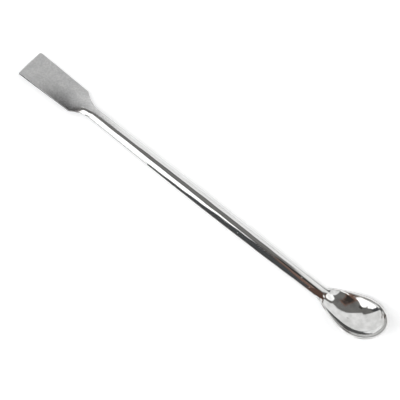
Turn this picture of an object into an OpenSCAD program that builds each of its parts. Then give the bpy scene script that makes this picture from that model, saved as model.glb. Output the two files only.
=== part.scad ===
// Lab spatula, one forged bar of stainless steel: a flat blade, a round handle that is
// thickest at mid length, and an egg-shaped bowl.  Sizes are in millimetres.
// It lies on z = 0 as it comes to rest, its length along X, with the bowl at the +X end: a
// round handle doesn't stay bowl up, but rolls until the blade touches the bench on one side.

/* [Overall] */
// Length from the tip of the blade to the tip of the bowl
overall_length = 180; // [165:1:210]

/* [Handle] */
// Diameter at the thickest place
handle_diameter = 6.4; // [6:0.1:7.5]
// Diameter where the handle meets the blade neck
handle_blade_diameter = 5; // [4.6:0.1:5.8]
// Diameter where the handle meets the bowl
handle_bowl_diameter = 5.7; // [5.2:0.1:6]
// Distance of the thickest place from the blade tip, as a share of the length
handle_thickest = 0.535; // [0.45:0.005:0.6]

/* [Blade] */
// Length of the blade from its tip to the shoulders
blade_length = 26.2; // [20:0.1:32]
// Width of the blade at its tip
blade_tip_width = 12.6; // [11.5:0.1:15]
// Width of the blade at its shoulders
blade_shoulder_width = 11.3; // [9:0.1:12.5]
// Thickness of the blade
blade_thickness = 1.1; // [0.8:0.05:1.6]
// Height of the middle of the blade above the axis of the handle
blade_lift = 0.6; // [0:0.05:1]
// Radius of the worn tip corner, on the +Y side
worn_corner_radius = 1; // [0.4:0.1:2]
// Radius of the crisp tip corner, on the -Y side
crisp_corner_radius = 0.4; // [0.2:0.1:1]

/* [Blade neck] */
// Length of the neck from the shoulders to the round handle
neck_length = 8.8; // [7:0.1:12]
// Length of the crown that runs from the neck onto the blade
crown_length = 4; // [2:0.1:6]
// How quickly the sides of the neck draw in
neck_draw = 2.2; // [1.8:0.1:2.6]

/* [Bowl] */
// Length of the bowl from its shoulders to its tip
bowl_length = 30; // [26:0.5:34]
// Width of the bowl across its rim
bowl_width = 17.6; // [16:0.1:20]
// Distance from the tip to the widest place
bowl_widest = 11; // [9:0.5:13]
// Distance from the tip to the deepest place
bowl_deepest = 15; // [13:0.5:17]
// Depth of the hollow, from the rim straight down to the deepest place
bowl_depth = 3.7; // [3.2:0.1:4.6]
// Section of the hollow: 0.5 is half an ellipse, and less is flatter along the middle
bowl_section = 0.5; // [0.4:0.05:0.6]
// Height of the rim above the axis of the handle, at the shoulders
rim_height = 1.5; // [1:0.1:2]
// Angle at which the rim rises toward the tip
rim_angle = 12.4; // [8:0.2:15]
// Thickness of the bowl wall at the deepest place
wall = 1; // [0.8:0.05:1.4]
// Thickness of the bowl wall at the rim
rim_thickness = 0.7; // [0.5:0.05:1]
// How quickly the end of the handle drops into the bowl
nose_drop = 2; // [1.5:0.25:3]

/* [Hidden] */
// Steps of each curve
arc_steps = 27;
flank_steps = 22;
tip_steps = 17;
neck_steps = 14;
handle_steps = 12;

// The neck runs on inside the blade and the handle, and the bowl inside the handle, for this
// overlap, and there they sit this far below the skin
overlap = 1;
skin = 0.02;

round_start = blade_length + neck_length;
crown_start = blade_length - crown_length;
bowl_start = overall_length - bowl_length;
shoulder_run = 2;
round_end = bowl_start - shoulder_run;
thickest = overall_length * handle_thickest;
widest = overall_length - bowl_widest;
deepest = overall_length - bowl_deepest;
blade_top = blade_lift + blade_thickness / 2;
blade_bottom = blade_lift - blade_thickness / 2;
rim_tip = rim_height + bowl_length * tan(rim_angle);
rim_round = 0.2;

function mix(a, b, t) = a + (b - a) * t;
function limit(t) = min(1, max(0, t));
function ease(t) = let (u = limit(t)) u * u * (3 - 2 * u);
function power(base, exponent) = pow(max(base, 1e-9), exponent);

// Handle radius along the bar: a soft barrel that tapers to both ends
barrel_softness = 0.3;
function barrel(t) = (sqrt(t * t + barrel_softness ^ 2) - barrel_softness)
    / (sqrt(1 + barrel_softness ^ 2) - barrel_softness);
function handle_radius(x) = x < thickest
    ? mix(handle_diameter, handle_blade_diameter,
        barrel((thickest - x) / (thickest - round_start))) / 2
    : mix(handle_diameter, handle_bowl_diameter,
        barrel((x - thickest) / (round_end - thickest))) / 2;
// Places along the handle, i from -handle_steps to handle_steps: closest together at the
// thickest place, where the curve is tightest and the bench touches
function handle_place(i) = let (t = abs(i / handle_steps) ^ 1.5)
    mix(thickest, i < 0 ? round_start : round_end, t);

// A ring across the bar: an upper arc and a lower arc, each from +Y to -Y.
// first_angle keeps the ends of the two arcs apart where the bar is round.
function arc(x, half_width, edge, middle, roundness, first_angle) = [
    for (i = [0:arc_steps])
        let (a = mix(first_angle, 180 - first_angle, i / arc_steps))
        [x, half_width * cos(a), mix(edge, middle, power(sin(a), 2 * roundness))]
];

// Surface between rings: each ring has the same number of points, in order around the bar
function skin_faces(rings, size) = [
    for (k = [0:rings - 2]) for (i = [0:size - 1])
        let (j = (i + 1) % size, a = k * size, b = a + size)
        each [[a + i, b + i, b + j], [a + i, b + j, a + j]]
];

// Flat end across one ring, closed in strips from the upper arc to the lower arc.
// extra is the number of points between the two arcs on each side.
function end_faces(first, extra, flip) = let (low = 2 * arc_steps + 1 + extra) [
    for (i = [0:arc_steps - 1])
        let (f = [first + i, first + i + 1, first + low - i - 1, first + low - i])
        each flip ? [[f[0], f[1], f[2]], [f[0], f[2], f[3]]]
            : [[f[2], f[1], f[0]], [f[3], f[2], f[0]]]
];

function reversed(list) = [for (i = [len(list) - 1:-1:0]) list[i]];

// Blade: flat, a little wider at the tip, with one worn corner and one crisp corner
function corner(before, at, after, radius) =
    let (u = (before - at) / norm(before - at), v = (after - at) / norm(after - at),
        half = acos(u * v) / 2, centre = at + (u + v) / norm(u + v) * radius / sin(half),
        from = at + u * radius / tan(half) - centre, turn = 180 - 2 * half)
    [for (i = [0:6]) let (a = turn * i / 6)
        centre + [from.x * cos(a) + from.y * sin(a), from.y * cos(a) - from.x * sin(a)]];

function blade_half_width(x) = mix(blade_tip_width, blade_shoulder_width, x / blade_length) / 2;

blade_end = [crown_start, blade_half_width(crown_start)];
blade_tip = [0, blade_tip_width / 2];
worn_corner = corner([0, 0], blade_tip, blade_end, worn_corner_radius);
crisp_corner = corner([blade_end.x, -blade_end.y], [0, -blade_tip.y], [0, 0],
    crisp_corner_radius);

module blade() {
    translate([0, 0, blade_bottom])
        linear_extrude(blade_thickness)
            polygon(concat([[blade_end.x, -blade_end.y], blade_end],
                reversed(worn_corner), reversed(crisp_corner)));
}

// Neck of the blade: the round bar spread flat, with a crown that fades onto the blade
function neck_ring(x) =
    let (
        rise = ease((x - crown_start) / (round_start - crown_start)),
        draw = limit((x - blade_length) / neck_length),
        radius = handle_radius(max(x, round_start)) - skin * ease(draw),
        sunk = skin * (1 - limit((x - crown_start) / overlap)),
        top = blade_top - sunk,
        bottom = blade_bottom + sunk,
        side = x < blade_length ? blade_half_width(x) - sunk
            : mix(radius, blade_shoulder_width / 2, power(1 - draw, neck_draw)),
        roundness = mix(1.4, 0.5, rise),
        apart = 90 / (arc_steps + 1) * ease(draw),
        edge_fade = 1 - ease(draw)
    )
    concat(
        arc(x, side, top * edge_fade, mix(top, radius, rise), roundness, apart),
        reversed(arc(x, side, bottom * edge_fade, mix(bottom, -radius, rise), roundness, apart))
    );

module blade_neck() {
    stations = concat(
        [crown_start - overlap],
        [for (i = [0:3]) mix(crown_start, blade_length, i / 4)],
        [for (i = [0:neck_steps]) mix(blade_length, round_start, i / neck_steps)],
        [round_start + overlap]
    );
    size = 2 * arc_steps + 2;
    polyhedron(
        points = [for (x = stations) each neck_ring(x)],
        faces = concat(
            end_faces(0, 0, true),
            skin_faces(len(stations), size),
            end_faces((len(stations) - 1) * size, 0, false)
        )
    );
}

// Handle: round everywhere, so it is turned from one outline
module handle() {
    rotate([0, 90, 0])
        rotate_extrude($fn = 72)
            polygon(concat(
                [[0, round_start]],
                [for (i = [-handle_steps:handle_steps])
                    let (x = handle_place(i)) [handle_radius(x), x]],
                [[0, round_end]]
            ));
}

// Bowl outline seen from above: points and outward directions from the shoulder to the tip
function cubic(a, b, c, d, t) = let (u = 1 - t)
    u ^ 3 * a + 3 * u ^ 2 * t * b + 3 * u * t ^ 2 * c + t ^ 3 * d;
function cubic_way(a, b, c, d, t) = let (u = 1 - t)
    u ^ 2 * (b - a) + 2 * u * t * (c - b) + t ^ 2 * (d - c);

flank_from = [bowl_start, handle_bowl_diameter / 2];
flank_lead = flank_from + [1.5, 0.3];
flank_to = [widest, bowl_width / 2];
flank_trail = flank_to - [0.4 * (widest - bowl_start), 0];

function flank(i) = let (t = i / flank_steps, way = cubic_way(flank_from, flank_lead,
        flank_trail, flank_to, t))
    [cubic(flank_from, flank_lead, flank_trail, flank_to, t), [-way.y, way.x] / norm(way)];
function tip_curve(i) = let (a = 90 * i / tip_steps,
        out = [sin(a) / bowl_widest, cos(a) / (bowl_width / 2)])
    [[widest + bowl_widest * sin(a), bowl_width / 2 * cos(a)], out / norm(out)];

// The round bar opens into the bowl over open_up, from 0 to 1.  rim_z is the height of the rim.
// middle_z is the height of one face along the middle: from the handle at start, down to low at
// the deepest place, and up to the rim at end.
function open_up(x) = ease((x - round_end) / (2.5 * shoulder_run));
function rim_z(x) = open_up(x) * (rim_height + (x - bowl_start) * tan(rim_angle));
function middle_z(x, start, low, end, drop) = x < deepest
    ? mix(low, start, power(1 - limit((x - round_end) / (deepest - round_end)) ^ 2, drop))
    : mix(rim_z(end) - rim_round, low,
        power(1 - limit((x - deepest) / (end - deepest)) ^ 2.2, 0.7));
hollow_low = rim_z(deepest) - bowl_depth;
function hollow_z(x) = middle_z(x, handle_bowl_diameter / 2, hollow_low,
    overall_length - rim_thickness, nose_drop);
function under_z(x) = middle_z(x, -handle_bowl_diameter / 2, hollow_low - wall,
    overall_length, 1.5);

// Ring of the bowl: hollow arc, rim crest, under arc, rim crest
function bowl_ring(place, depth_below_skin) =
    let (
        at = place[0], out = place[1],
        open = open_up(at.x),
        apart = 180 / (arc_steps + 2) * (1 - open),
        lip = rim_thickness * open,
        inside = at - lip * out,
        crest = at - lip / 2 * out,
        soften = rim_round * open,
        roundness = mix(0.5, bowl_section, open),
        under_roundness = roundness + 0.1 * open
    )
    concat(
        arc(inside.x, inside.y - depth_below_skin, rim_z(inside.x) - soften,
            hollow_z(inside.x) - depth_below_skin, roundness, apart),
        [[crest.x, -(crest.y - depth_below_skin), rim_z(crest.x)]],
        reversed(arc(at.x, at.y - depth_below_skin, rim_z(at.x) - soften,
            under_z(at.x) + depth_below_skin, under_roundness, apart)),
        [[crest.x, crest.y - depth_below_skin, rim_z(crest.x)]]
    );

neck_place = [for (i = [0:3]) mix(round_end, bowl_start, i / 4)];
bowl_rings = concat(
    [bowl_ring([[round_end - overlap, handle_bowl_diameter / 2], [0, 1]], skin)],
    [for (x = neck_place) bowl_ring([[x, handle_bowl_diameter / 2], [0, 1]], skin)],
    [for (i = [0:flank_steps]) bowl_ring(flank(i), skin * (1 - ease(i / 4)))],
    [for (i = [1:tip_steps - 1]) bowl_ring(tip_curve(i), 0)]
);

module bowl() {
    size = 2 * arc_steps + 4;
    last = (len(bowl_rings) - 1) * size;
    tips = last + size;
    at = tip_curve(tip_steps)[0];
    under_first = last + arc_steps + 2;
    polyhedron(
        points = concat(
            [for (ring = bowl_rings) each ring],
            [[at.x - rim_thickness, 0, rim_z(at.x - rim_thickness) - rim_round],
                [at.x - rim_thickness / 2, 0, rim_tip],
                [at.x, 0, rim_tip - rim_round]]
        ),
        faces = concat(
            end_faces(0, 1, true),
            [[0, arc_steps * 2 + 2, arc_steps * 2 + 3],
                [arc_steps, arc_steps + 1, arc_steps + 2]],
            skin_faces(len(bowl_rings), size),
            [for (i = [0:arc_steps - 1]) [last + i + 1, last + i, tips]],
            [for (i = [0:arc_steps - 1]) [under_first + i + 1, under_first + i, tips + 2]],
            [
                [last + arc_steps, tips, tips + 1], [last + arc_steps, tips + 1, under_first - 1],
                [under_first - 1, tips + 1, tips + 2], [under_first - 1, tips + 2, under_first],
                [last, tips + 1, tips], [last, tips - 1, tips + 1],
                [tips - 1, tips + 2, tips + 1], [tips - 1, tips - 2, tips + 2]
            ]
        )
    );
}

// Rest: the bar lies on the thickest place of the handle, and rolls until the worn side of the
// blade or the side of the bowl touches the bench too
under_points = [for (ring = bowl_rings) for (i = [arc_steps + 2:2 * arc_steps + 2]) ring[i]];
far_points = concat([for (p = worn_corner) [p.x, p.y, blade_bottom]],
    [for (p = under_points) if (p.y > 0) p]);
near_points = concat([for (p = crisp_corner) [p.x, p.y, blade_bottom]],
    [for (p = under_points) if (p.y < 0) p]);
function down(p, roll) = p.y * sin(roll) - p.z * cos(roll);
function across(p, roll) = p.y * cos(roll) + p.z * sin(roll);
function lean(from, to, turns) = let (middle = (from + to) / 2)
    turns == 0 ? middle
    : max([for (p = far_points) down(p, middle)]) < handle_diameter / 2
        ? lean(middle, to, turns - 1)
    : lean(from, middle, turns - 1);
rest_roll = lean(5, 60, 24);
far_across = max([for (p = far_points) across(p, rest_roll)]);
near_across = min([for (p = near_points) across(p, rest_roll)]);

module at_rest() {
    translate([-overall_length / 2, -(far_across + near_across) / 2, handle_diameter / 2])
        rotate([-rest_roll, 0, 0])
            children();
}

module spatula() {
    color("silver")
        at_rest() {
            blade();
            blade_neck();
            handle();
            bowl();
        }
}

spatula();
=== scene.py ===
import math

import bpy
from mathutils import Matrix, Vector


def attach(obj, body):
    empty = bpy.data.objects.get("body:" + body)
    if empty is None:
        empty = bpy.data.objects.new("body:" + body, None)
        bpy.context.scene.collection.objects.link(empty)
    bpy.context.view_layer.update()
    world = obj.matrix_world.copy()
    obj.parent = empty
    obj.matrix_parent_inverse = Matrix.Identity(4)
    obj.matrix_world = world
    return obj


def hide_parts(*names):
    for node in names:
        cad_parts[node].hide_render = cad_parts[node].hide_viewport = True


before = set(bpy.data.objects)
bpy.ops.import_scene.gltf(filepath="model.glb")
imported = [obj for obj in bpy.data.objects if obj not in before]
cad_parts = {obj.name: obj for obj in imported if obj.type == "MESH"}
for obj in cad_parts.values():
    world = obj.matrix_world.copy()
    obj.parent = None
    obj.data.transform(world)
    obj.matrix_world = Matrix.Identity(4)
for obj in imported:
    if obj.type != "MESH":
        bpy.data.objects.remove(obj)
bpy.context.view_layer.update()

# ---------------------------------------------------------------- the blade
# The flat end of the bar, spread under the hammer, ground flat on both faces and left satin, with
# a neck behind it that swells back into the round.  Its edges are broken by hand.  Use has worn
# one tip corner round and left a small dent in the tip edge.
LENGTH = 0.180
BLADE_LENGTH = 0.0262
TIP_WIDTH, SHOULDER_WIDTH = 0.0126, 0.0113
BLADE_TOP, BLADE_BOTTOM = 0.00115, 0.00005
WORN_CORNER, CRISP_CORNER = 0.0010, 0.0004
EDGE_ROUND = 0.00014
GRIND_DEPTH = 0.0005
WEAR_REACH, SWEEP_DEPTH = 0.0012, 0.00005
DENT_AT, DENT_WIDTH, DENT_DEPTH = -0.0010, 0.0006, 0.00016
NECK_LENGTH, NECK_FLARE = 0.0088, 2.2
CROWN_START = BLADE_LENGTH - 0.004
ROUND_START = BLADE_LENGTH + NECK_LENGTH

# A ring across the bar has an upper face and a lower face of FACE points each, from +Y to -Y and
# back, and EDGE points round each side, half of them above and half below.  Where the bar is
# round the faces end at BESIDE.
FACE, EDGE = 49, 8
HALF_EDGE = EDGE // 2
BESIDE = math.radians(14)
QUARTER = [math.radians(90 * i / HALF_EDGE) for i in range(1, HALF_EDGE + 1)]


def mix(a, b, t):
    return a + (b - a) * t


def limit(t):
    return min(1.0, max(0.0, t))


def ease(t):
    t = limit(t)
    return t * t * (3 - 2 * t)


def rounded(distance, radius):
    """How far a rounded corner draws in at this distance from it."""
    gap = limit(1 - distance / radius)
    return radius * (1 - math.sqrt(1 - gap * gap))


def ground_away(x, y):
    """The grinding has taken a little more off the upper face toward the front shoulder."""
    along, across = ease((x - 0.003) / 0.019), limit((0.0015 - y) / 0.0075)
    return GRIND_DEPTH * along * across ** 1.7


def tip_wear(x, y):
    """How far the tip edge is worn back: a shallow sweep and one small dent."""
    near = limit(1 - x / WEAR_REACH) ** 2
    sweep = SWEEP_DEPTH * (1 + math.sin(900 * y + 0.6))
    dent = DENT_DEPTH * math.exp(-((y - DENT_AT) / DENT_WIDTH) ** 2)
    return near * (sweep + dent)


def flat_ring(x):
    """A ring of the blade or its neck, which goes from a flat section to a round one."""
    rise = ease((x - CROWN_START) / (ROUND_START - CROWN_START))
    share = limit((x - BLADE_LENGTH) / NECK_LENGTH)
    draw = ease(share)
    radius = handle_radius(max(x, ROUND_START))
    side = mix(TIP_WIDTH, SHOULDER_WIDTH, x / BLADE_LENGTH) / 2
    if x > BLADE_LENGTH:
        side = mix(radius, SHOULDER_WIDTH / 2, (1 - share) ** NECK_FLARE)
    soft = EDGE_ROUND * (1 - draw)
    left, right = side - rounded(x, WORN_CORNER) - soft, side - rounded(x, CRISP_CORNER) - soft
    middle, half = (left - right) / 2, (left + right) / 2
    thin = rounded(x, EDGE_ROUND)
    power = 2 * mix(1.4, 0.5, rise)
    top = ((BLADE_TOP - thin) * (1 - draw), mix(BLADE_TOP - thin, radius, rise))
    low = ((BLADE_BOTTOM + thin) * (1 - draw), mix(BLADE_BOTTOM + thin, -radius, rise))

    def point(angle, face, beyond=0.0, drop=0.0):
        share = abs(math.sin(angle)) ** power
        y = middle + half * math.cos(angle) + math.copysign(beyond, math.cos(angle))
        z = mix(face[0] - drop, face[1], share)
        if face is top:
            z -= ground_away(x, y) * (1 - draw)
        return (x + tip_wear(x, y), y, z)

    def side_points(start, turn):
        out = []
        for j in range(EDGE):
            upper = j < HALF_EDGE
            q = QUARTER[j] if upper else QUARTER[EDGE - 1 - j]
            ang = start + turn * BESIDE * draw * mix(1, -1, (j + 1) / (EDGE + 1))
            drop = soft * (1 - math.cos(q)) * (1 - draw)
            face, drop = (top, drop) if upper else (low, -drop)
            out.append(point(ang, face, soft * math.sin(q), drop))
        return out

    angles = [mix(BESIDE * draw, math.pi - BESIDE * draw, i / (FACE - 1)) for i in range(FACE)]
    near = side_points(math.pi, -1)
    far = side_points(0.0, 1)
    return ([point(a, top) for a in angles] + near
            + [point(a, low) for a in reversed(angles)] + far[::-1])


# ---------------------------------------------------------------- the handle
# Round bar, swaged to a soft barrel that is thickest a little past the middle, then linished and
# polished along its length.  The hand polish takes off up to two hundredths of a millimetre more
# in places, which makes the lines of light on it waver.
HANDLE_THICKEST_AT = 0.535 * LENGTH
HANDLE_RADIUS, HANDLE_BLADE_RADIUS, HANDLE_BOWL_RADIUS = 0.0032, 0.0025, 0.00285
BARREL_ROUND = 0.3
WAVER_DEPTH, WAVER_FADE = 0.000004, 0.006
BOWL_START = LENGTH - 0.030
ROUND_END = BOWL_START - 0.002


def barrel(t):
    """How far the taper has gone: round near the thickest place, then nearly straight."""
    return (math.hypot(t, BARREL_ROUND) - BARREL_ROUND) / (math.hypot(1, BARREL_ROUND) - BARREL_ROUND)


def handle_radius(x):
    if x < HANDLE_THICKEST_AT:
        t = (HANDLE_THICKEST_AT - x) / (HANDLE_THICKEST_AT - ROUND_START)
        return mix(HANDLE_RADIUS, HANDLE_BLADE_RADIUS, barrel(t))
    t = (x - HANDLE_THICKEST_AT) / (ROUND_END - HANDLE_THICKEST_AT)
    return mix(HANDLE_RADIUS, HANDLE_BOWL_RADIUS, barrel(t))


def round_ring(x):
    fade = ease((x - ROUND_START) / WAVER_FADE) * ease((ROUND_END - x) / WAVER_FADE)

    def point(a):
        waver = (math.sin(5 * a + 260 * x) + math.sin(7 * a - 410 * x + 1.3)
                 + math.sin(3 * a + 620 * x + 0.4))
        r = handle_radius(x) - WAVER_DEPTH * fade * (3 + waver)
        return (x, r * math.cos(a), r * math.sin(a))

    face = [mix(BESIDE, math.pi - BESIDE, i / (FACE - 1)) for i in range(FACE)]
    side = [mix(-BESIDE, BESIDE, (j + 1) / (EDGE + 1)) for j in range(EDGE)]
    return [point(a) for a in face + [math.pi + a for a in side]
            + [math.pi + a for a in face] + side]


# ---------------------------------------------------------------- the bowl
# The other end of the bar, forged out in a die to an egg-shaped bowl, trimmed to a rim that rises
# toward the tip, and polished inside and out.  The rim is left as a narrow land with soft edges.
BOWL_WIDTH = 0.0176
WIDEST, DEEPEST = LENGTH - 0.011, LENGTH - 0.015
BOWL_DEPTH = 0.00358
RIM_HEIGHT = 0.00138                                  # 0.12 mm low, to keep the skin inside the solid
RIM_SLOPE = math.tan(math.radians(12.4))
WALL, LIP, RIM_ROUND = 0.0010, 0.0007, 0.0002
OPENING_RUN = 0.005


def open_up(x):
    """How far the round bar has opened into the bowl."""
    return ease((x - ROUND_END) / OPENING_RUN)


def rim_z(x):
    return open_up(x) * (RIM_HEIGHT + (x - BOWL_START) * RIM_SLOPE)


def middle_z(x, first, start, low, end, drop):
    """The bowl's middle line: down from the bar to its lowest place, and up to the tip."""
    if x < DEEPEST:
        return mix(low, start, (1 - limit((x - first) / (DEEPEST - first)) ** 2) ** drop)
    return mix(rim_z(end) - RIM_ROUND, low, (1 - limit((x - DEEPEST) / (end - DEEPEST)) ** 2.2) ** 0.7)


HOLLOW_LOW = rim_z(DEEPEST) - BOWL_DEPTH
HOLLOW_START = 0.0023
NOSE_START, NOSE_LENGTH, NOSE_FALL = BOWL_START + 0.0006, 0.0052, 0.0020
NOSE_CREASE = 0.0003


def nose_z(x, y):
    """The rounded end of the bar, above the start of the hollow.  Past its length it drops away."""
    fall = 1 - math.sqrt(1 - limit((x - NOSE_START) / NOSE_LENGTH) ** 2)
    gone = limit((x - NOSE_START - NOSE_LENGTH) / 0.001)
    return math.sqrt(max(HANDLE_BOWL_RADIUS ** 2 - y * y, 0)) - NOSE_FALL * fall - gone


def higher(a, b, soft):
    """The greater of two heights, with the crease between them rounded."""
    return (a + b + math.sqrt((a - b) ** 2 + soft * soft)) / 2


def bowl_ring(at, out_way):
    """A ring through the bowl's outline at this place, where out_way points outward."""
    wide = open_up(at[0])
    soft = RIM_ROUND * wide
    inner = (at[0] - LIP * wide * out_way[0], at[1] - LIP * wide * out_way[1])
    hollow = middle_z(inner[0], BOWL_START, HOLLOW_START, HOLLOW_LOW, LENGTH - LIP, 2)
    under = middle_z(at[0], ROUND_END, -HANDLE_BOWL_RADIUS, HOLLOW_LOW - WALL, LENGTH, 1.5)
    first = BESIDE * (1 - wide)
    angles = [mix(first, math.pi - first, i / (FACE - 1)) for i in range(FACE)]

    def face(place, middle, power):
        edge = rim_z(place[0]) - soft
        return [(place[0], place[1] * math.cos(a), mix(edge, middle, abs(math.sin(a)) ** power))
                for a in angles]

    def rim(way):
        out = []
        for j in range(EDGE):
            q = QUARTER[j] if j < HALF_EDGE else QUARTER[EDGE - 1 - j]
            across = soft * (1 - math.cos(q))
            base, sign = (inner, 1) if j < HALF_EDGE else (at, -1)
            x, y = base[0] + sign * across * out_way[0], base[1] + sign * across * out_way[1]
            z = rim_z(x) - soft + soft * math.sin(q)
            a = BESIDE * mix(1, -1, (j + 1) / (EDGE + 1))
            round_y, round_z = HANDLE_BOWL_RADIUS * math.cos(a), HANDLE_BOWL_RADIUS * math.sin(a)
            out.append((x, way * mix(round_y, y, wide), mix(round_z, z, wide)))
        return out

    def hollow_face():
        out = []
        for x, y, z in face(inner, hollow, 1.0):
            nose = nose_z(x, y)
            out.append((x, y, mix(nose, higher(nose, z, NOSE_CREASE), wide)))
        return out

    return (hollow_face() + rim(-1)
            + face(at, under, 1.0 + 0.2 * wide)[::-1] + rim(1)[::-1])


def flank(t):
    """A place on the bowl's outline from the bar to its widest place, and the way out there."""
    a, b, c, d = [Vector(p) for p in (
        (BOWL_START, HANDLE_BOWL_RADIUS), (BOWL_START + 0.0015, HANDLE_BOWL_RADIUS + 0.0003),
        (WIDEST - 0.4 * (WIDEST - BOWL_START), BOWL_WIDTH / 2), (WIDEST, BOWL_WIDTH / 2))]
    u = 1 - t
    way = u * u * (b - a) + 2 * u * t * (c - b) + t * t * (d - c)
    at = u ** 3 * a + 3 * u * u * t * b + 3 * u * t * t * c + t ** 3 * d
    return at, Vector((-way.y, way.x)).normalized()


def tip_curve(a):
    """A place on the outline round the bowl's tip, at this turn from the widest place."""
    at = Vector((WIDEST + (LENGTH - WIDEST) * math.sin(a), BOWL_WIDTH / 2 * math.cos(a)))
    out = Vector((math.sin(a) / (LENGTH - WIDEST), math.cos(a) / (BOWL_WIDTH / 2)))
    return at, out.normalized()


# ---------------------------------------------------------------- the forging
# Blade, neck, handle and bowl are one bar of stainless steel with nothing joined on, so a single
# skin runs over all its rings.  It lies as it comes to rest, on the thickest place of the handle
# and the worn corner of the blade.
def stations(first, last, steps):
    """Even places along the bar, from the one after the first up to the last."""
    return [mix(first, last, i / steps) for i in range(1, steps + 1)]


# The rings stand closest at the tip, where its edge and corners are rounded.
flat = [EDGE_ROUND * (1 - math.cos(math.radians(18 * i))) for i in range(6)]
flat += [0.0002, 0.0003, 0.0004, 0.0006, 0.0008, 0.001, 0.0014, 0.002]
flat += stations(flat[-1], CROWN_START, 20) + stations(CROWN_START, BLADE_LENGTH, 12)
flat += stations(BLADE_LENGTH, ROUND_START, 40)[:-1]
rings = [flat_ring(x) for x in flat]
rings += [round_ring(x) for x in [ROUND_START] + stations(ROUND_START, ROUND_END, 200)]
rings += [bowl_ring((x, HANDLE_BOWL_RADIUS), (0, 1)) for x in stations(ROUND_END, BOWL_START, 8)[:-1]]

FLANK_STEPS, TIP_STEPS = 48, 44
TIP_TURN = math.pi / 2 * 0.998                        # just short of the middle, where it is closed
rings += [bowl_ring(*flank(i / FLANK_STEPS)) for i in range(FLANK_STEPS + 1)]
rings += [bowl_ring(*tip_curve(TIP_TURN * i / TIP_STEPS)) for i in range(1, TIP_STEPS + 1)]

ROLL, SHIFT = math.radians(31.119), -0.0025535
to_bench = Matrix.Translation((-LENGTH / 2, SHIFT, HANDLE_RADIUS)) @ Matrix.Rotation(-ROLL, 4, "X")

size = len(rings[0])
faces = []
for k in range(len(rings) - 1):
    for i in range(size):
        j = (i + 1) % size
        faces.append((k * size + i, k * size + j, (k + 1) * size + j, (k + 1) * size + i))
top, low = FACE // 2, FACE + EDGE + FACE // 2
far_side = list(range(top, -1, -1)) + list(range(size - 1, low - 1, -1))
near_side = list(range(top, low + 1))
for base, order in ((0, 1), ((len(rings) - 1) * size, -1)):
    for i in range(len(far_side) - 1):
        corners = dict.fromkeys((far_side[i], far_side[i + 1], near_side[i + 1], near_side[i]))
        faces.append(tuple(base + c for c in list(corners)[::order]))

mesh = bpy.data.meshes.new("forging")
mesh.from_pydata([to_bench @ Vector(p) for ring in rings for p in ring], [], faces)
mesh.validate()
mesh.update()
mesh.shade_smooth()
forging = bpy.data.objects.new("forging", mesh)
bpy.context.scene.collection.objects.link(forging)
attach(forging, "root")
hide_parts("spatula")

# ---------------------------------------------------------------- the finish
# The blade keeps the blotchy satin of the grinding belt, and its front half is darkened toward the
# shoulder with painted shade that stands in for a darker reflection there.  The polish starts on the
# neck and runs lengthwise over handle and bowl, duller inside the bowl, with fine mop lines and small
# nicks.  Years of wiping have brightened the blade's edges and the rim.
def point_values(name, value):
    layer = mesh.attributes.new(name, "FLOAT", "POINT")
    layer.data.foreach_set("value", [value(p, i) for ring in rings for i, p in enumerate(ring)])


def is_edge(p, i):
    on_side = FACE - 1 <= i <= FACE + EDGE or i >= 2 * FACE + EDGE - 1 or i == 0
    if p[0] < ROUND_START:
        at_tip = limit(1 - p[0] / 0.0004)
        return max(float(on_side) * (1 - ease((p[0] - BLADE_LENGTH) / 0.004)), at_tip)
    return float(on_side) * open_up(p[0])


def satin_share(p, i):
    """The polish begins farther down the bar on its back than on its front."""
    back = ease(p[1] / HANDLE_BLADE_RADIUS / 0.5 + 1.05) if p[0] > BLADE_LENGTH else 1
    return 1 - ease((p[0] - mix(0.0285, 0.030, back)) / mix(0.002, 0.023, back))


def painted_shade_share(p, i):
    """Painted shade: the front half of the blade, toward the shoulder, where a darker reflection is
    painted into the colour.
    """
    painted_shade = ease((p[0] - 0.008) / 0.017) * limit((0.0022 - p[1]) / 0.0072) ** 1.5
    return max(painted_shade * (1 - ease((p[0] - 0.030) / 0.003)), 0)


def dished(p, i):
    """The inside of the bowl."""
    return open_up(p[0]) if i < FACE else 0.0


point_values("satin", satin_share)
point_values("edge", is_edge)
# a mask for the painted shade on the blade's front shoulder
point_values("painted_shade", painted_shade_share)
point_values("dished", dished)


def material(name):
    made = bpy.data.materials.new(name)
    made.use_nodes = True
    made.node_tree.nodes.clear()
    return made, made.node_tree


def add_node(tree, kind, inputs=(), **settings):
    """A node with its settings, and its inputs linked or set by name or number."""
    made = tree.nodes.new("ShaderNode" + kind)
    for key, value in settings.items():
        setattr(made, key, value)
    for key, value in dict(inputs).items():
        if isinstance(value, bpy.types.NodeSocket):
            tree.links.new(value, made.inputs[key])
        else:
            made.inputs[key].default_value = value
    return made


steel, tree = material("ground_and_polished_steel")
satin = add_node(tree, "Attribute", attribute_name="satin").outputs["Fac"]
edge = add_node(tree, "Attribute", attribute_name="edge").outputs["Fac"]
painted_shade = add_node(tree, "Attribute", attribute_name="painted_shade").outputs["Fac"]
dish = add_node(tree, "Attribute", attribute_name="dished").outputs["Fac"]
place = add_node(tree, "TexCoord").outputs["Object"]


def noise(scale, stretch=(1, 1, 1), detail=3.0):
    at = add_node(tree, "Mapping", {"Vector": place, "Scale": stretch}).outputs[0]
    return add_node(tree, "TexNoise", {"Vector": at, "Scale": scale, "Detail": detail}).outputs[0]


def ramp(value, low, high, out_low, out_high):
    return add_node(tree, "MapRange", {0: value, 1: low, 2: high, 3: out_low, 4: out_high}).outputs[0]


def blend(factor, a, b):
    return add_node(tree, "Mix", {0: factor, 2: a, 3: b}).outputs[0]


def tint(factor, a, b):
    return add_node(tree, "Mix", {0: factor, 6: a, 7: b}, data_type="RGBA").outputs[2]


def times(a, b):
    return add_node(tree, "Math", {0: a, 1: b}, operation="MULTIPLY").outputs[0]


def plus(a, b):
    return add_node(tree, "Math", {0: a, 1: b}, operation="ADD").outputs[0]


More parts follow.
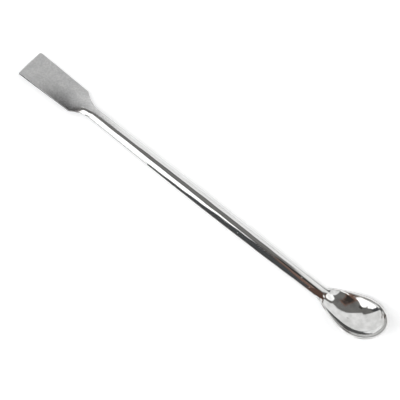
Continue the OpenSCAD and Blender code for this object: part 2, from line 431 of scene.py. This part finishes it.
blotches = noise(330, detail=4.0)                     # a few millimetres across
grain = noise(5200, detail=2.0)                       # bite of the belt
mop_lines = noise(2600, (0.02, 1, 1), 4.0)            # fine lines along the bar
haze = noise(150, (0.4, 1, 1), 3.0)                   # hand marks and dried drops

blade_rough = plus(ramp(blotches, 0.3, 0.7, 0.30, 0.40), ramp(grain, 0.3, 0.7, -0.03, 0.03))
polish_rough = plus(ramp(haze, 0.35, 0.75, 0.045, 0.085), ramp(mop_lines, 0.5, 0.8, 0.0, 0.04))
rough = blend(satin, polish_rough, blade_rough)
rough = blend(times(edge, ramp(haze, 0.3, 0.6, 0.4, 0.9)), rough, 0.12)
nicks = ramp(noise(1700, (0.45, 1, 1), 1.0), 0.765, 0.80, 0, 0.8)
rough = blend(times(nicks, ramp(plus(satin, dish), 0, 0.5, 1, 0)), rough, 0.35)

DARK_SATIN, LIGHT_SATIN = (0.49, 0.493, 0.495, 1), (0.60, 0.60, 0.595, 1)
# the second colour on the next line is painted shade, a near-black for the blade's front shoulder
PITTED, PAINTED_SHADE_COLOUR = (0.36, 0.36, 0.36, 1), (0.10, 0.10, 0.102, 1)
CLEAN_POLISH, HAZY_POLISH = (0.735, 0.735, 0.73, 1), (0.70, 0.70, 0.69, 1)
DULL_DISH, BRIGHT_EDGE = (0.50, 0.50, 0.49, 1), (0.80, 0.80, 0.795, 1)
pits = noise(1500, detail=2.0)                        # specks left by the coarse belt
tone = tint(ramp(blotches, 0.3, 0.7, 0, 1), DARK_SATIN, LIGHT_SATIN)
tone = tint(ramp(pits, 0.35, 0.65, 0.5, 0), tone, PITTED)
# painted shade: the blade's colour is darkened toward its front shoulder, in place of a darker reflection
# there
tone = tint(times(painted_shade, ramp(pits, 0.3, 0.7, 1.0, 0.75)), tone, PAINTED_SHADE_COLOUR)
shine = tint(ramp(haze, 0.35, 0.7, 0, 1), CLEAN_POLISH, HAZY_POLISH)
cloud = plus(times(haze, 0.5), times(blotches, 0.5))
shine = tint(times(dish, ramp(cloud, 0.4, 0.6, 0.2, 0.9)), shine, DULL_DISH)
colour = tint(times(edge, 0.5), tint(satin, shine, tone), BRIGHT_EDGE)

relief = blend(satin, times(mop_lines, 0.25), plus(times(blotches, 1.6), times(grain, 0.35)))
RELIEF_DEPTH = 0.000016
bump = add_node(tree, "Bump", {"Strength": 1.0, "Distance": RELIEF_DEPTH, "Height": relief}).outputs[0]
surface = add_node(tree, "BsdfPrincipled", {"Metallic": 1.0, "Base Color": colour,
                                            "Roughness": rough, "Normal": bump}).outputs[0]
add_node(tree, "OutputMaterial", {"Surface": surface})
mesh.materials.append(steel)

# ---------------------------------------------------------------- the bench
# A bench top with a smooth white face.  Toward the eye and in reflections a glow of its own lifts
# it to plain white, and it keeps the shadow of the spatula.
def sheet(name, corners, made):
    flat = bpy.data.meshes.new(name)
    flat.from_pydata(corners, [], [tuple(range(len(corners)))])
    flat.materials.append(made)
    thing = bpy.data.objects.new(name, flat)
    bpy.context.scene.collection.objects.link(thing)
    return thing


BENCH_REACH, BENCH_GLOW = 3, 0.34
white, tree = material("bench_white")
paint = add_node(tree, "BsdfDiffuse", {"Color": (0.86, 0.86, 0.86, 1)}).outputs[0]
rays = add_node(tree, "LightPath").outputs
seen = rays["Is Camera Ray"]
for kind in ("Is Glossy Ray", "Is Transmission Ray"):
    seen = add_node(tree, "Math", {0: seen, 1: rays[kind]}, operation="MAXIMUM").outputs[0]
lift = add_node(tree, "Emission", {"Strength": times(seen, BENCH_GLOW)}).outputs[0]
add_node(tree, "OutputMaterial", {"Surface": add_node(tree, "AddShader", {0: paint, 1: lift}).outputs[0]})
sheet("bench", [(x * BENCH_REACH, y * BENCH_REACH, 0) for x, y in ((-1, -1), (1, -1), (1, 1), (-1, 1))],
      white)

# ---------------------------------------------------------------- the lights
# Large soft lamps light the bench evenly.  What the steel mirrors is the room: a white wall beyond
# the blade, a long soft box in front, a grey ceiling, white, dark and brown sheets near bowl and
# neck and dark ones on the bench.  These cards show in reflections only and give the bench no light.
world = bpy.data.worlds.new("room")
bpy.context.scene.world = world
world.use_nodes = True
sky = world.node_tree.nodes["Background"].inputs
sky["Color"].default_value = (0.92, 0.96, 1.0, 1)
sky["Strength"].default_value = 0.085
LAMP_AIM = Vector((0.03, 0, 0))


def lamp(name, azimuth, height, away, size, strength):
    """An area lamp aimed at the handle.  strength is about what it adds to a white bench, as a share."""
    a, e = math.radians(azimuth), math.radians(height)
    way = Vector((math.cos(e) * math.cos(a), math.cos(e) * math.sin(a), math.sin(e)))
    light = bpy.data.lights.new(name, "AREA")
    light.size = size
    light.energy = strength * math.pi ** 2 * away ** 2 / math.sin(e)
    made = bpy.data.objects.new(name, light)
    made.location = LAMP_AIM + away * way
    made.rotation_euler = way.to_track_quat("Z", "Y").to_euler()
    made.visible_glossy = False
    bpy.context.scene.collection.objects.link(made)


lamp("lamp_over", 120, 85, 1.8, 1.6, 0.40)
lamp("lamp_front", 222, 42, 1.8, 1.2, 0.31)
lamp("lamp_back", 42, 42, 1.8, 1.2, 0.31)


def card(name, corners, colour, strength):
    made, tree = material(name)
    glow = add_node(tree, "Emission", {"Color": (*colour, 1), "Strength": strength}).outputs[0]
    add_node(tree, "OutputMaterial", {"Surface": glow})
    thing = sheet(name, corners, made)
    for kind in ("camera", "diffuse", "transmission", "volume_scatter", "shadow"):
        setattr(thing, "visible_" + kind, False)


def wall(across, up):
    """A point of the white wall, which stands 1.5 m away, beyond the blade."""
    return (-1.377 - 0.398 * across, 0.597 - 0.918 * across, up)


def flat_card(name, height, corners, colour, strength):
    """A level card, with its height and its corners in millimetres."""
    card(name, [(x / 1000, y / 1000, height / 1000) for x, y in corners], colour, strength)


FLAG_HEIGHT, FLAG_GLOW = 0.3, 0.085


def flag(name, corners, strength=FLAG_GLOW):
    """A thin dark sheet that lies on the bench."""
    flat_card(name, FLAG_HEIGHT, corners, WHITE, strength)


WHITE, BROWN, BLACK = (1.0, 1.0, 1.0), (1.0, 0.60, 0.47), (1.0, 0.85, 0.78)
card("white_wall", [wall(a, z) for a, z in (
    (-6, 0), (-6, 2.1), (-2.8, 2.0), (-2.6, 1.65), (-2.35, 1.40), (-2.15, 1.32), (-1.95, 1.50),
    (-1.71, 1.82), (-1.42, 1.77), (-1.18, 1.68), (-0.9, 1.85), (-0.4, 2.05), (0.65, 2.05),
    (2.0, 1.75), (3.8, 1.2), (6, 1.0), (6, 0))], WHITE, 1.05)
card("soft_box", [
    (-0.130, -0.088, 0.556), (-0.138, -0.185, 0.508), (-0.168, -0.355, 0.423),
    (-0.231, -0.557, 0.322), (-0.357, -0.887, 0.156), (-0.478, -1.179, 0.010),
    (-0.70, -1.179, 0.010), (-0.50, -0.887, 0.156), (-0.35, -0.557, 0.322),
    (-0.30, -0.355, 0.423), (-0.30, -0.088, 0.556)], WHITE, 1.7)
flat_card("ceiling", 1100, [(-900, -50), (-330, 1255), (-400, 1800), (-600, 2400), (-480, 2500),
                            (-315, 2230), (-225, 2030), (-125, 1800), (100, 1900), (1000, 3500),
                            (600, -50)], (1.0, 0.98, 0.95), 0.217)
flat_card("right_light", 595, [(95, -150), (95, 2200), (1200, 2200), (1200, -150)], WHITE, 1.6)
flat_card("white_sheet", 100, [(46, 27), (53, 18), (57, 8), (62, -5), (63.5, -10), (65, -20), (66, -35),
                               (67, -60), (66, -330), (-20, -330), (9, -173), (26, -110), (36, -50),
                               (39, 0), (37, 9)], WHITE, 2.0)
flat_card("white_strip", 25, [(67.8, 2.6), (67, 4.4), (64, -4), (61, -9), (57, -18), (53, -37), (44, -90),
                              (34, -139), (20, -200), (40, -200), (60, -139), (65.5, -45), (66.7, -16),
                              (67.7, -5)], WHITE, 2.0)
flat_card("nose_card", 12, [(61.3, 0.5), (61.3, -3), (60, -9), (57, -14), (52, -28), (46, -28), (54, -8),
                            (57.5, 0.5)], BROWN, 0.12)
flat_card("neck_light", 25, [(-54, -10), (-60, -10), (-63, -15), (-66, -22), (-90, -80), (-90, -110),
                             (-54, -110)], WHITE, 1.7)
flat_card("white_edge", 100, [(50, 200), (57, 182), (60, 172), (61, 160), (60, 154), (56, 141), (52, 127),
                              (48, 111), (42, 93), (37, 74), (31, 58), (24, 60), (16, 66), (14, 85),
                              (12, 140), (4, 200)], WHITE, 1.05)
flat_card("brown_front", 99, [(67, -50), (130, -20), (200, -1100), (70, -1100)], BROWN, 0.13)
flat_card("brown_board", 602, [(-125, 0), (-125, -700), (25, -700), (25, 40), (-75, 40), (-75, 0)],
          BROWN, 0.24)
flat_card("black_board", 600, [(-130, 30), (-130, 240), (-75, 240), (-75, 30)], BLACK, 0.045)
flat_card("black_sheet", 600, [(12, 94), (14, 254), (28, 388), (36, 480), (40, 560), (56, 560),
                               (56, 200), (40, 94)], BLACK, 0.045)
flat_card("brown_sheet", 603, [(8, -400), (8, 20), (2, 90), (6, 254), (20, 388), (30, 480), (34, 620),
                               (70, 620), (120, 400), (120, -400)], BROWN, 0.22)
flag("front_flag", [(-28, -11.5), (-2, -15.9), (25, -19.3), (33, -23.2), (35, -48), (-27, -304),
                    (-210, -1000), (-386, -1000), (-135, -304), (-48, -65)])
flag("edge_flag", [(-72, -21), (-40, -21), (-42, -27), (-76, -27)])
flag("back_flag", [(75, 3), (68, 7), (60, 11), (50, 22), (34, 44), (-20, 75), (-60, 110), (-60, 160),
                   (82, 160), (82, 3)], 0.12)
flag("line_flag", [(-60, -9.5), (-28, -11), (-32, -14), (-62, -11)])
flag("blade_flag", [(-102, -10), (-66, -10), (-66, -34), (-102, -34)])

# ---------------------------------------------------------------- the camera
# It stands a metre off and looks down on the spatula through a long lens, with the bowl at the
# lower right.  Its place is worked out in the bar's own frame and carried to the bench with it.
PITCH, TURN, AWAY = 1.08225117, 0.727333621, 1.0
CAMERA_AIM = Vector((0.0900403852, -0.000817264919, 0))
SENSOR_WIDTH = 36                                     # millimetres
PICTURE_WIDTH, FOCAL_LENGTH = 400, 2624.7395          # pixels
right = Vector((math.cos(TURN), math.sin(TURN), 0))
back = Vector((math.cos(PITCH) * math.sin(TURN), -math.cos(PITCH) * math.cos(TURN), math.sin(PITCH)))
stand = Matrix((right, back.cross(right), back)).transposed().to_4x4()
stand.translation = CAMERA_AIM + AWAY * back
camera = bpy.data.objects.new("camera", bpy.data.cameras.new("camera"))
camera.data.sensor_width = SENSOR_WIDTH
camera.data.lens = FOCAL_LENGTH * SENSOR_WIDTH / PICTURE_WIDTH
camera.data.clip_end = 20
camera.matrix_world = to_bench @ stand
bpy.context.scene.collection.objects.link(camera)
bpy.context.scene.camera = camera
bpy.context.scene.view_settings.view_transform = "Standard"
